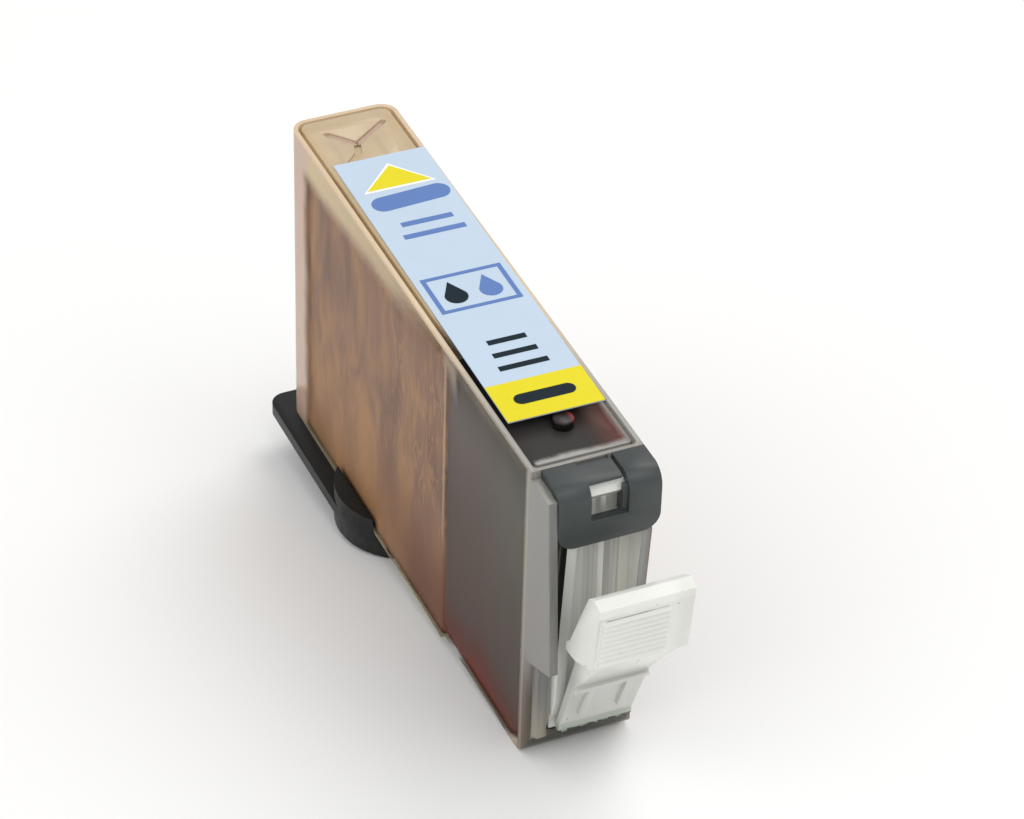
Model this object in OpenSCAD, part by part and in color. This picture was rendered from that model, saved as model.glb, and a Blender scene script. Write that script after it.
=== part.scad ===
// Single-colour ink cartridge: a clear tank with a sponge and an ink chamber, a sprung latch lever
// on its front, a black front cap and a black shipping cap over the outlet.
// It stands as it rests on a table: on the shipping cap's cup and the tank's lower front edge.
// Each piece is drawn level first: x across, y from the front wall to the back, z up from the
// underside of the ink chamber. rested() then tilts it into its resting pose.

/* [Tank] */
// Width of the tank across its side walls
tank_w = 12.5; // [11.5:0.1:16]
// Length of the tank from the front wall to the back wall
tank_l = 68.8; // [62:0.1:80]
// Height of the ink chamber from its underside to the lid's top
tank_h = 38.7; // [36:0.1:44]
// Thickness of the side and back walls
wall_t = 1.2; // [1:0.05:1.5]
// Thickness of the front wall
front_wall_t = 1.8; // [1.2:0.1:2.4]
// Thickness of the floor
floor_t = 1.2; // [0.9:0.1:1.8]
// Inside length of the ink chamber
ink_l = 20; // [16:0.5:24]
// Thickness of the partition between the two chambers
partition_t = 1.2; // [0.8:0.1:1.6]
// How much deeper the sponge chamber reaches than the ink chamber
sponge_drop = 1.1; // [0.6:0.1:2]
// Radius of the two upright corners at the back
back_r = 2; // [1.5:0.1:2.6]
// Radius of the lower front edge, seen from the side
front_r = 3; // [2:0.1:4]
// Radius of the lower back edge, seen from the side
heel_r = 1; // [0.5:0.1:1.5]
// Height of the ink port through the partition
port_h = 4; // [2:0.5:6]
// Height of the prism ridge on the ink chamber's floor
prism_h = 2.2; // [1:0.1:3]

/* [Lid] */
// Thickness of the lid
lid_t = 1.4; // [1:0.1:2]
// Thickness of the case rim around the lid
rim_t = 0.5; // [0.4:0.05:0.7]
// Width of the open seam between the rim and the lid
seam_w = 0.4; // [0.25:0.05:0.45]
// Depth of the hold-down ribs under the lid
rib_h = 1; // [0.5:0.1:1.5]
// Depth of the air-vent groove in the lid's top
groove_d = 0.4; // [0.2:0.05:0.6]
// Width of the air-vent groove
groove_w = 0.8; // [0.4:0.05:0.9]
// Radius of the filler plug
plug_r = 1.15; // [0.8:0.05:1.2]
// Distance of the filler plug from the front wall
plug_y = 8.1; // [5:0.1:8.2]
// How far the filler plug sits to the right of the middle
plug_x = 0.6; // [0:0.1:1]
// Distance of the vent's fork behind the label
vent_y = 3.4; // [3:0.1:3.6]
// How far the vent's fork sits to the left of the middle
vent_x = 0.5; // [0:0.1:1]
// Free ends of the hold-down ribs at the chamber's ends
rib_end = 2; // [1:0.5:4]

/* [Front rails] */
// Thickness of the long rail at the left front corner
rail_t = 1; // [0.8:0.1:1.3]
// How far the rail stands forward at its top
rail_top_d = 3.6; // [3:0.1:4]
// How far the rail stands forward at its lower end
rail_low_d = 5.3; // [4.2:0.1:6]
// Height of the rail's lower end at the front wall
rail_z = 13.9; // [10:0.1:18]
// Rise of the rail's slanted lower end
rail_cut = 2.2; // [0:0.1:4]
// Height of the foot ledge under the latch
foot_z = 4.4; // [4:0.1:4.5]
// Depth of the foot ledge
foot_d = 0.9; // [0.8:0.1:1]
// Depth of the left cheek beside the latch
cheek_d = 1.4; // [1:0.1:1.6]

/* [Latch] */
// Distance of the latch plate from the tank's left side
plate_left = 2.3; // [2:0.1:2.6]
// Distance of the latch plate from the tank's right side
plate_right = 0.6; // [0.6:0.1:1]
// Thickness of the back plate
web_t = 0.8; // [0.6:0.05:0.9]
// Thickness of the back plate's flanges
flange_t = 1.2; // [0.8:0.1:1.3]
// Depth of the flanges at their foot, above the lever's root
flange_foot_d = 1.4; // [1:0.1:1.4]
// Depth of the flanges beside the lower arm
flange_mid_d = 2.05; // [1.6:0.05:2.1]
// Height of the flanges' upper bend over the lever's root
flange_bend_h = 13.6; // [12:0.1:15]
// Depth of the flanges at the shoulder below the front cap
flange_top_d = 3.6; // [3:0.1:3.6]
// Width of the centre rib
rib_w = 0.7; // [0.4:0.1:1]
// Distance of the centre rib's foot from the lever's turning axis
rib_lift = 4.5; // [3.5:0.1:6]
// Radius of the lever's root bead
bead_r = 0.6; // [0.5:0.05:0.7]
// Height of the lever's turning axis
pivot_z = 5.5; // [5.3:0.1:5.8]
// How far the lower arm's sides stand in from the plate's sides
arm_inset = 0.6; // [0.5:0.1:1]
// Thickness of the lower arm at its bending root
root_t = 0.7; // [0.5:0.05:0.8]
// Thickness of the lower arm at the grip
arm_t = 1.7; // [1.2:0.1:1.9]
// Length of the lower arm from the turning axis
arm_l = 12.9; // [12:0.1:14]
// Forward lean of the lower arm, in degrees
arm_lean = 21.2; // [21:0.1:23]
// How far the grip's sides stand out over the plate's sides
grip_over = 0.55; // [0.3:0.05:0.55]
// Height of the serrated face
face_h = 8.7; // [6.5:0.1:9.2]
// Forward lean of the serrated face, in degrees
face_lean = 7.6; // [4:0.1:10]
// Reach of the face's lower edge forward of the arm's end
grip_reach = 5.55; // [5:0.05:7]
// Rise of the face's lower edge above the arm's end
grip_rise = 4.25; // [3.5:0.05:6]
// Depth of the grip's top ledge
ledge_d = 2.8; // [2:0.1:3.4]
// Length of the arm's stretch that carries the grip's neck
neck_l = 3; // [2:0.1:4]
// Thickness of the grip's plates
skin_t = 1.1; // [0.8:0.1:1.3]
// Number of serration ridges
ridges = 9; // [4:1:9]
// Distance from ridge to ridge
ridge_pitch = 0.74; // [0.6:0.02:0.86]
// Height of the ridges
ridge_h = 0.3; // [0.15:0.01:0.4]
// Plain strip of the face at the left of the ridges
ridge_left = 0.5; // [0.2:0.1:1]
// Plain strip of the face at the right of the ridges
ridge_right = 2.6; // [1:0.1:3]
// Reach of the grip's wide floor from its heel to its knee
knee_d = 2.3; // [1.8:0.1:2.6]
// Width of the two upright ribs on the lower arm's front
arm_rib_w = 0.8; // [0.4:0.1:1]
// Height of those ribs over the arm's front
arm_rib_h = 0.4; // [0.2:0.05:0.5]

/* [Front cap] */
// Thickness of the black front cap
hood_t = 1; // [0.8:0.05:1]
// How far the front cap stands forward of the front wall
hood_d = 4; // [3.8:0.1:4.6]
// How far the front cap reaches back over the lid's front
hood_back = 0.6; // [0.3:0.1:0.8]
// Height of the front cap's face
hood_h = 7.3; // [6:0.1:9]
// Distance of the front cap's left side from the tank's left side
hood_inset = 1.05; // [1.05:0.05:1.3]
// Radius of the front cap's bend and lower corners
hood_r = 2; // [1.2:0.1:2.4]
// Width of the window
window_w = 4.2; // [3:0.1:4.8]
// Height of the window's lower edge over the cap's lower edge
window_z = 3; // [2.6:0.1:3.6]
// How far the window reaches back over the cap's bend
window_back = 1.1; // [1.05:0.05:1.5]
// Further reach of the hollow under the tongue's front edge
tongue_relief = 0.7; // [0.3:0.1:0.9]
// Depth of that hollow's roof under the tank's top
tongue_t = 0.55; // [0.45:0.05:0.8]
// Depth of the jamb at the window's right side
jamb_d = 1.9; // [1.5:0.1:2.2]
// Width of the slit beside the tongue
slit_w = 0.45; // [0.3:0.05:0.6]

/* [Outlet and shipping cap] */
// Distance of the outlet from the front wall
outlet_y = 48.1; // [44:0.1:52]
// Inner radius of the outlet ring
outlet_r = 3.6; // [3:0.1:3.9]
// Outer radius of the outlet ring
ring_r = 5; // [4.6:0.1:5.4]
// How far the outlet ring stands below the floor
ring_h = 1.3; // [0.8:0.1:1.6]
// Thickness of the filter mesh
mesh_t = 0.2; // [0.1:0.05:0.4]
// Thickness of the seal disc in the cup
seal_t = 0.8; // [0.5:0.1:1.2]
// How far the cup and the plate stand out beside the tank
cup_over = 2.15; // [2:0.05:2.6]
// Inner radius of the cup
cup_bore_r = 6; // [5.8:0.1:6.2]
// Thickness of the cup's floor
cup_floor_t = 1; // [0.8:0.1:1.4]
// Thickness of the shipping cap's plate
base_t = 1.5; // [1.2:0.1:1.8]
// How far the plate reaches behind the tank
base_over = 2.4; // [1:0.1:4]
// Height of the cup's rim beside the tank, over the tank's floor
ear_h = 1.9; // [1:0.1:3]

/* [Label] */
// Free strip of the lid and rim beside the label
label_gap = 0.8; // [0.6:0.05:1.4]
// Length of the label
label_l = 50; // [46:0.1:51]
// Distance of the label's front end from the front wall
label_y = 8.8; // [8.8:0.1:9]
// How far the label sits to the right of the middle
label_x = 0.45; // [0:0.05:0.45]
// Skew of the label, in degrees
label_skew = -0.6; // [-0.8:0.1:0.6]
// Thickness of the label film
film_t = 0.12; // [0.08:0.01:0.2]
// Thickness of a printed field
print_t = 0.04; // [0.02:0.01:0.05]
// Length of the coloured band at the label's front end
band_l = 6.3; // [4:0.1:8]
// Length of the arrow mark
arrow_l = 4; // [3:0.1:4.4]
// Distance of the arrow's base from the label's back end
arrow_y = 6.2; // [5.8:0.1:6.4]
// Distance of the round-ended bar from the label's back end
bar_y = 8.8; // [8.6:0.1:9.4]
// Width of the round-ended bar
bar_t = 2.7; // [1.5:0.1:2.8]
// Distance of the first pair of lines from the label's back end
lines_y = 13.8; // [13:0.1:15]
// Thickness of the printed lines
line_t = 0.8; // [0.5:0.05:1]
// Distance from line to line
line_pitch = 2.3; // [1.8:0.1:2.6]
// Line width of the frame printed on the label
frame_line = 0.5; // [0.3:0.05:0.8]
// Length of that frame along the label
frame_l = 6.6; // [5:0.1:7]
// Distance of the frame's middle in front of the middle between the two groups of lines
frame_shift = 0.8; // [0:0.1:1.2]
// Height of the drop marks
mark_h = 4; // [3:0.1:4.4]

/* [Hidden] */
$fn = 96;
// Clearance between pieces that sit inside one another
fit = 0.05;
// Clearance beside pieces that move
run = 0.3;
// Overshoot of a cut past the face that it opens
eps = 1;

half_w = tank_w / 2;
seat_z = tank_h - lid_t;
ink_back = front_wall_t + ink_l;
sponge_front = ink_back + partition_t;
inner_w = tank_w - 2 * wall_t;
lid_w = tank_w - 2 * (rim_t + seam_w);
lid_front = hood_back + rim_t + seam_w;
lid_back = tank_l - rim_t - seam_w;
sponge_z = floor_t - sponge_drop;
sponge_top = seat_z - rib_h;
plate_w = tank_w - plate_left - plate_right;
latch_x = (plate_left - plate_right) / 2;
arm_w = plate_w - 2 * arm_inset;
grip_w = plate_w + 2 * grip_over;
cup_r = half_w + cup_over;
label_w = tank_w - 2 * label_gap;

// Places along the label, from its middle: the band's back edge, the two groups of lines, the frame
band_back = band_l - label_l / 2;
dark_lines = band_back + 2 * line_pitch - 0.3;
blue_lines = label_l / 2 - lines_y;
frame_mid = (blue_lines - line_pitch + dark_lines + line_pitch + line_t) / 2 - frame_shift;

shelf_z = tank_h - hood_t - fit;
hood_low = tank_h - hood_h;

// Outlet stack, from the ring down to the cup's underside
ring_low = -sponge_drop - ring_h;
seal_low = ring_low - seal_t;
cup_low = seal_low - cup_floor_t;
base_top = -sponge_drop - fit;
base_low = base_top - base_t;
base_back = tank_l + base_over;

// Latch: back plate flat on the front wall, lever in front of it
shelf_t = 1.2;
shelf_d = hood_d - hood_t - fit;
plate_low = foot_z + fit;
plate_high = shelf_z - shelf_t - fit;
shoulder_z = hood_low - 0.2;
pivot = [-(web_t + bead_r + run), pivot_z];
arm_up = [-sin(arm_lean), cos(arm_lean)];
arm_out = [-cos(arm_lean), -sin(arm_lean)];
arm_tip = pivot + arm_l * arm_up;
arm_back = arm_tip - arm_out * arm_t / 2;
grip_heel = arm_back + [0.1, 1.7];
under_start = pivot + (arm_l - neck_l) * arm_up + arm_out * arm_t * 0.46;
face_low = arm_tip + [-grip_reach, grip_rise];
face_top = face_low + face_h * [-sin(face_lean), cos(face_lean)];
knee = grip_heel + [-knee_d, 0.2];
ledge_crown = face_top + [ledge_d / 2, 0.45];
ledge_back = face_top + [ledge_d, -0.4];

// Resting pose: a line that touches the front edge's curve and the cup's front rim
cup_edge = [outlet_y - cup_r, cup_low];
rest_span = norm(cup_edge - [front_r, front_r]);
rest_tilt = atan2(front_r - cup_edge[1], cup_edge[0] - front_r) - asin(front_r / rest_span);
function rest_y(p) = p[0] * cos(rest_tilt) - p[1] * sin(rest_tilt);
function rest_z(p) = p[0] * sin(rest_tilt) + p[1] * cos(rest_tilt);
rest_dz = -rest_z(cup_edge);
rest_dy = -(rest_y(face_top) + rest_y([base_back, base_low])) / 2;

module rested() {
    translate([0, rest_dy, rest_dz])
        rotate([rest_tilt, 0, 0])
            children();
}

// A profile drawn in y and z, made w wide and centred on x
module across(w, x = 0) {
    translate([x, 0, 0])
        rotate([90, 0, 90])
            linear_extrude(height = w, center = true)
                children();
}

// An upright plate with a plan drawn in x and y
module upright(z0, z1) {
    translate([0, 0, z0])
        linear_extrude(height = z1 - z0)
            children();
}

// Plan rectangle from y0 to y1 with radius rf at the front corners and rb at the back ones
module plan(w, y0, y1, rf, rb) {
    for (side = [-1, 1]) {
        translate([side * (w / 2 - rf), y0 + rf])
            circle(r = rf);
        translate([side * (w / 2 - rb), y1 - rb])
            circle(r = rb);
    }
    translate([-w / 2 + rf, y0])
        square([w - 2 * rf, y1 - y0 - rb]);
    translate([-w / 2 + rb, y0 + rf])
        square([w - 2 * rb, y1 - y0 - rf]);
    translate([-w / 2, y0 + rf])
        square([w, y1 - y0 - rf - rb]);
}

// A straight slot between two points with round ends
module slot_between(a, b, w) {
    d = b - a;
    translate(a)
        rotate(atan2(d[1], d[0])) {
            translate([0, -w / 2])
                square([norm(d), w]);
            circle(d = w, $fn = 32);
            translate([norm(d), 0])
                circle(d = w, $fn = 32);
        }
}

// Side outline of the tank: round lower front edge, deeper sponge chamber, round heel
module tank_side() {
    translate([front_r, front_r])
        circle(r = front_r);
    translate([0, front_r])
        square([front_r + eps, tank_h - front_r]);
    translate([front_r, 0])
        square([tank_l - front_r, tank_h]);
    translate([sponge_front, -sponge_drop])
        square([tank_l - sponge_front - heel_r, sponge_drop + eps]);
    translate([tank_l - heel_r, heel_r - sponge_drop])
        circle(r = heel_r);
    translate([tank_l - heel_r - eps, heel_r - sponge_drop])
        square([heel_r + eps, tank_h - heel_r + sponge_drop]);
}

// Long rail at the left front corner, with a slanted lower end
module corner_rail() {
    across(rail_t, -half_w + rail_t / 2)
        polygon([[0, rail_z], [-rail_low_d, rail_z + rail_cut], [-rail_top_d, shelf_z], [eps, shelf_z],
                 [eps, rail_z]]);
}

// Side outline of the shelf from z0 up, its front corner inside the front cap's bend
module shelf_side(z0) {
    bend = hood_r - hood_t - fit;
    polygon([[eps, z0], [-shelf_d, z0], [-shelf_d, shelf_z - bend], [-shelf_d + 0.72 * bend, shelf_z],
             [eps, shelf_z]]);
}

// Shelf and cheek that carry the front cap and stop the top of the latch plate
module cap_shelf() {
    across(tank_w - rail_t + fit, (rail_t - fit) / 2)
        shelf_side(shelf_z - shelf_t);
    across(0.5, half_w - 0.25)
        shelf_side(hood_low + 0.5);
}

// Ledge and left cheek that hold the foot of the latch plate
module latch_foot() {
    ledge_t = 0.7;
    cheek_x = -half_w + 0.65;
    translate([cheek_x, -foot_d, foot_z - ledge_t])
        cube([half_w - plate_right - cheek_x, foot_d + eps, ledge_t]);
    translate([cheek_x, -cheek_d, foot_z - ledge_t / 2])
        cube([1.1, cheek_d + eps, rail_z - foot_z]);
}

// Prism ridge that stands across the ink chamber's floor
module prism_side() {
    translate([front_wall_t + ink_l * 0.62, floor_t])
        polygon([[-prism_h, -0.2], [prism_h, -0.2], [0, prism_h]]);
}

module tank_case() {
    color([0.85, 0.82, 0.76, 0.45])
        rested()
            union() {
                difference() {
                    union() {
                        intersection() {
                            across(tank_w)
                                tank_side();
                            upright(-sponge_drop, tank_h)
                                plan(tank_w, 0, tank_l, 0.6, back_r);
                        }
                        corner_rail();
                        cap_shelf();
                        latch_foot();
                        translate([0, outlet_y, ring_low])
                            cylinder(r = ring_r, h = ring_h + floor_t / 2);
                    }
                    // Ink chamber
                    upright(floor_t, tank_h)
                        plan(inner_w, front_wall_t, ink_back, 0.5, 0.5);
                    // Sponge chamber
                    upright(sponge_z, tank_h)
                        plan(inner_w, sponge_front, tank_l - wall_t, 0.5, back_r - 0.5);
                    // Seat for the lid inside the rim
                    upright(seat_z, tank_h + eps)
                        plan(tank_w - 2 * rim_t, hood_back + rim_t, tank_l - rim_t, 0.5, back_r - rim_t);
                    // Step under the back of the front cap
                    translate([-half_w - eps, -eps - hood_d, shelf_z])
                        cube([tank_w + 2 * eps, hood_d + eps + hood_back + fit, hood_t + eps]);
                    // Outlet bore
                    translate([0, outlet_y, ring_low - eps])
                        cylinder(r = outlet_r, h = ring_h + floor_t + 2 * eps);
                    // Ink port at the foot of the partition
                    translate([-inner_w / 4, ink_back - eps, floor_t])
                        cube([inner_w / 2, partition_t + 2 * eps, port_h]);
                }
                across(inner_w)
                    prism_side();
            }
}

// Branched air-vent groove: two arms that meet and a stem that runs under the label
module vent_groove() {
    fork = [-vent_x, label_y + label_l + vent_y];
    stem = fork - [0.6, vent_y - 1.6];
    for (tip = [[-2.5, 2.9], [4.3, 3.1]])
        slot_between(fork, fork + tip, groove_w);
    slot_between(fork, stem, groove_w);
    slot_between(stem, stem + [-1.6, -1.6], groove_w);
    slot_between(stem + [-1.6, -1.6], stem + [4, -2.2], groove_w);
}

module tank_lid() {
    rib_l = tank_l - wall_t - sponge_front - 2 * rib_end;
    color([0.87, 0.76, 0.6, 0.6])
        rested()
            difference() {
                union() {
                    upright(seat_z, tank_h)
                        plan(lid_w, lid_front, lid_back, 0.4, back_r - rim_t - seam_w);
                    for (x = [-inner_w / 4, inner_w / 4])
                        translate([x - 0.4, sponge_front + rib_end, sponge_top])
                            cube([0.8, rib_l, rib_h]);
                }
                upright(tank_h - groove_d, tank_h + eps)
                    vent_groove();
                translate([plug_x, plug_y, seat_z - eps])
                    cylinder(r = plug_r, h = lid_t + 2 * eps);
            }
}

module filler_plug() {
    color([0.12, 0.07, 0.06])
        rested()
            translate([plug_x, plug_y, seat_z])
                cylinder(r = plug_r, h = lid_t - 0.25);
}

module main_sponge() {
    color([0.66, 0.5, 0.36])
        rested()
            upright(sponge_z + fit, sponge_top)
                plan(inner_w - 2 * fit, sponge_front + fit, tank_l - wall_t - fit, 0.5, back_r - 0.5);
}

module free_ink() {
    color([0.24, 0.12, 0.1])
        rested()
            difference() {
                upright(floor_t + fit, seat_z - run)
                    plan(inner_w - 2 * fit, front_wall_t + fit, ink_back - fit, 0.5, 0.5);
                translate([0, 0, fit])
                    across(tank_w)
                        prism_side();
            }
}

module outlet_wick() {
    color([0.55, 0.4, 0.28])
        rested()
            translate([0, outlet_y, ring_low])
                cylinder(r = outlet_r - fit, h = ring_h + floor_t - mesh_t);
}

module outlet_mesh() {
    color([0.7, 0.7, 0.68])
        rested()
            translate([0, outlet_y, sponge_z - mesh_t])
                cylinder(r = outlet_r - fit, h = mesh_t);
}

// Side outline of a flange: it starts above the lever's root, deepens upwards and steps back
// behind the front cap
module flange_side() {
    root_top = pivot[1] + bead_r + run;
    polygon([
        [0, plate_low],
        [-web_t, plate_low],
        [-web_t, root_top],
        [-flange_foot_d, root_top + run],
        [-flange_mid_d, root_top + 3],
        [-flange_mid_d - 0.5, root_top + flange_bend_h],
        [-flange_top_d, shoulder_z],
        [-shelf_d + 0.4, shoulder_z],
        [-shelf_d + 0.4, plate_high],
        [0, plate_high]
    ]);
}

module latch_plate() {
    rib_low = pivot_z + rib_lift;
    color([0.78, 0.8, 0.79, 0.85])
        rested()
            union() {
                translate([latch_x - plate_w / 2, -web_t, plate_low])
                    cube([plate_w, web_t, plate_high - plate_low]);
                for (side = [-1, 1])
                    across(flange_t, latch_x + side * (plate_w - flange_t) / 2)
                        flange_side();
                across(rib_w, latch_x - 0.05)
                    polygon([[0, rib_low], [-web_t, rib_low], [-1.7, rib_low + 1.5], [-1.7, plate_high - 0.5],
                             [0, plate_high - 0.5]]);
            }
}

// Triangular ridges on the serrated face, spaced up from its lower edge
module ridge_rows() {
    along = [-sin(face_lean), cos(face_lean)];
    out = [-cos(face_lean), -sin(face_lean)];
    for (i = [0 : ridges - 1])
        polygon([
            face_low + along * (0.4 + i * ridge_pitch) - out * 0.1,
            face_low + along * (0.4 + (i + 0.3) * ridge_pitch) + out * ridge_h,
            face_low + along * (0.4 + (i + 0.85) * ridge_pitch) - out * 0.1
        ]);
}

// Outline of the grip's side and middle gussets
module gusset_side() {
    polygon([face_top, ledge_crown, ledge_back, grip_heel, knee, face_low]);
}

// Serrated face, top ledge and wide floor of the hollow grip
module grip_skin() {
    polygon([face_top, face_low, face_low + [skin_t, 0], face_top + [skin_t, 0]]);
    polygon([face_top, ledge_crown, ledge_back, ledge_back - [0, skin_t], face_top - [0, skin_t]]);
    polygon([face_low, knee, grip_heel, grip_heel + [0, skin_t], knee + [0, skin_t], face_low + [0.4, skin_t]]);
}

// Sloping underside that carries the grip on the narrower arm
module grip_neck() {
    polygon([face_low, under_start, arm_back, grip_heel, knee]);
}

// Lower arm from distance d0 to distance d1 along it, thicker towards the grip
function arm_half(d) = (root_t + (arm_t - root_t) * d / arm_l) / 2;
module arm_side(d0, d1) {
    polygon([
        pivot + arm_up * d0 - arm_out * arm_half(d0),
        pivot + arm_up * d0 + arm_out * arm_half(d0),
        pivot + arm_up * d1 + arm_out * arm_half(d1),
        pivot + arm_up * d1 - arm_out * arm_half(d1)
    ]);
}

module latch_lever() {
    lever_x = latch_x - 0.05;
    color([0.93, 0.94, 0.92])
        rested()
            union() {
                translate([lever_x - arm_w / 2, pivot[0], pivot[1]])
                    rotate([0, 90, 0])
                        cylinder(r = bead_r, h = arm_w);
                across(arm_w, lever_x)
                    arm_side(0, arm_l);
                across(arm_w, lever_x)
                    grip_neck();
                across(grip_w, lever_x)
                    grip_skin();
                across(grip_w - ridge_left - ridge_right, lever_x + (ridge_left - ridge_right) / 2)
                    ridge_rows();
                for (side = [-1, 0, 1])
                    across(skin_t, lever_x + side * (grip_w - skin_t) / 2)
                        gusset_side();
                // Upright ribs and their top bar on the front of the lower arm
                for (side = [-1, 1])
                    across(arm_rib_w, lever_x + side * (arm_w / 2 - 2))
                        arm_front(arm_l * 0.22, arm_l * 0.66);
                across(arm_w, lever_x)
                    arm_front(arm_l * 0.66, arm_l * 0.66 + arm_rib_w);
            }
}

// Low bar on the front of the lower arm from distance d0 to distance d1
module arm_front(d0, d1) {
    polygon([
        pivot + arm_up * d0,
        pivot + arm_up * d0 + arm_out * (arm_half(d0) + arm_rib_h),
        pivot + arm_up * d1 + arm_out * (arm_half(d1) + arm_rib_h),
        pivot + arm_up * d1
    ]);
}

// Side outline of the front cap: a bent plate with a rounded outer edge
module hood_side() {
    y0 = -hood_d;
    difference() {
        union() {
            translate([y0 + hood_r, tank_h - hood_r])
                circle(r = hood_r);
            translate([y0, hood_low])
                square([hood_d + hood_back, hood_h - hood_r]);
            translate([y0 + hood_r, hood_low])
                square([hood_d + hood_back - hood_r, hood_h]);
        }
        translate([y0 + hood_r, tank_h - hood_r])
            circle(r = hood_r - hood_t);
        translate([y0 + hood_t, hood_low - eps])
            square([hood_d + hood_back + eps, hood_h + eps - hood_r]);
        translate([y0 + hood_r, hood_low - eps])
            square([hood_d + hood_back + eps, hood_h + eps - hood_t]);
    }
}

// Front outline of the front cap: rounded lower corners
module hood_front() {
    left = -half_w + hood_inset;
    for (x = [left + hood_r, half_w - hood_r])
        translate([x, hood_low + hood_r])
            circle(r = hood_r);
    translate([left + hood_r, hood_low])
        square([half_w - left - 2 * hood_r, hood_h]);
    translate([left, hood_low + hood_r])
        square([half_w - left, hood_h - hood_r]);
}

module front_cap() {
    win_right = hood_inset / 2 + 2.1;
    win_low = hood_low + window_z;
    color([0.27, 0.3, 0.3])
        rested()
            union() {
                difference() {
                    intersection() {
                        across(tank_w + eps)
                            hood_side();
                        translate([0, hood_back + eps, 0])
                            rotate([90, 0, 0])
                                linear_extrude(height = hood_d + hood_back + 2 * eps)
                                    hood_front();
                    }
                    // Window, open from the face over the bend to the tongue
                    translate([win_right - window_w, -hood_d - eps, win_low])
                        cube([window_w, window_back + eps, hood_h]);
                    // Hollow under the tongue's front edge
                    translate([win_right - window_w, -hood_d + hood_t / 2, win_low])
                        cube([window_w, window_back + tongue_relief - hood_t / 2, tank_h - tongue_t - win_low]);
                    // Slit from the window's corner to the back edge
                    translate([win_right - slit_w, -hood_d - eps, win_low + eps])
                        cube([slit_w, hood_d + hood_back + 2 * eps, hood_h]);
                    // Shallow step behind the tongue
                    translate([win_right - window_w, hood_back - 0.65, tank_h - 0.2])
                        cube([window_w - slit_w - 0.2, 0.65 + eps, eps]);
                }
                // Deep jamb at the window's right side, stepped round the tank's shelf
                across(0.7, win_right - 0.15)
                    polygon([
                        [-hood_d + hood_t / 2, win_low - 0.5],
                        [-hood_d + jamb_d, win_low - 0.5],
                        [-hood_d + jamb_d, shelf_z - shelf_t - fit],
                        [-shelf_d - fit, shelf_z - shelf_t - fit],
                        [-shelf_d - fit, shelf_z],
                        [-hood_d + hood_t / 2, shelf_z]
                    ]);
                // Small moulding nib at the right side
                translate([half_w, -hood_d + 0.75, win_low - 0.4])
                    rotate([0, 90, 0])
                        cylinder(r = 0.3, h = 0.25, $fn = 24);
            }
}

module transport_cap() {
    color([0.1, 0.1, 0.11])
        rested()
            difference() {
                union() {
                    upright(base_low, base_top)
                        plan(2 * cup_r, outlet_y - cup_r, base_back, cup_r - fit, 2);
                    translate([0, outlet_y, cup_low])
                        cylinder(r = cup_r, h = base_top + ear_h - cup_low);
                }
                // Room for the tank between the two sides of the cup's rim
                translate([-half_w - run / 2, outlet_y - 2 * cup_r, base_top])
                    cube([tank_w + run, 4 * cup_r, ear_h + eps]);
                // Bore of the cup, round the outlet ring
                translate([0, outlet_y, seal_low])
                    cylinder(r = cup_bore_r, h = base_top - seal_low + eps);
            }
}

module cap_seal() {
    color([0.4, 0.42, 0.42])
        rested()
            translate([0, outlet_y, seal_low])
                cylinder(r = cup_bore_r - fit, h = seal_t);
}

// The label's own plan: x across it, y along it from its middle
module on_label(z0, z1) {
    translate([label_x, label_y + label_l / 2, tank_h + z0])
        rotate(label_skew)
            linear_extrude(height = z1 - z0)
                children();
}

module label_film() {
    color([0.75, 0.86, 0.94])
        rested()
            on_label(0, film_t)
                square([label_w, label_l], center = true);
}

// Arrow mark near the back end, drawn larger by rim for its white edge
module arrow_mark(rim) {
    base = label_l / 2 - arrow_y;
    polygon([[1.7 - label_w / 2 - 1.6 * rim, base - rim], [label_w / 2 - 1.7 + 1.6 * rim, base - rim],
             [0.3, base + arrow_l + 1.4 * rim]]);
}

module label_yellow() {
    color([0.96, 0.9, 0.1])
        rested() {
            on_label(film_t, film_t + print_t)
                translate([-label_w / 2, -label_l / 2])
                    square([label_w, band_l]);
            on_label(film_t + print_t, film_t + 2 * print_t)
                arrow_mark(0);
        }
}

module label_white() {
    color([0.95, 0.95, 0.93])
        rested()
            on_label(film_t, film_t + print_t)
                arrow_mark(0.35);
}

// Drop-shaped mark of height s
module drop_mark(s) {
    circle(r = s * 0.32, $fn = 32);
    polygon([[-s * 0.3, s * 0.11], [s * 0.3, s * 0.11], [0, s * 0.68]]);
}

module label_blue() {
    frame_w = label_w - 1.6;
    bar_mid = label_l / 2 - bar_y;
    color([0.22, 0.42, 0.75])
        rested()
            on_label(film_t, film_t + print_t) {
                // Round-ended bar
                slot_between([2.5 - label_w / 2, bar_mid - 0.2], [label_w / 2 - 1.8, bar_mid + 0.2], bar_t);
                // Two thin lines in front of it
                for (i = [0, 1])
                    translate([-2.6 - 0.6 * i, blue_lines - line_pitch * i])
                        square([6 + 1.2 * i, line_t]);
                // Frame with one drop in it
                difference() {
                    translate([0, frame_mid])
                        square([frame_w, frame_l], center = true);
                    translate([0, frame_mid])
                        square([frame_w - 2 * frame_line, frame_l - 2 * frame_line], center = true);
                }
                translate([mark_h / 2, frame_mid - mark_h * 0.18])
                    drop_mark(mark_h);
            }
}

module label_dark() {
    color([0.1, 0.1, 0.13])
        rested() {
            on_label(film_t, film_t + print_t) {
                translate([-mark_h / 2, frame_mid - mark_h * 0.18])
                    drop_mark(mark_h);
                // Three thin lines between the frame and the band
                for (i = [0, 1, 2])
                    translate([-2.2 - 0.3 * i, dark_lines + line_pitch * (1 - i)])
                        square([4.4 + 0.6 * i, line_t]);
            }
            // Plain bar on the band
            on_label(film_t + print_t, film_t + 2 * print_t)
                slot_between([-2.6, band_back - band_l / 2], [2.6, band_back - band_l / 2], 1.7);
        }
}

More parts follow.
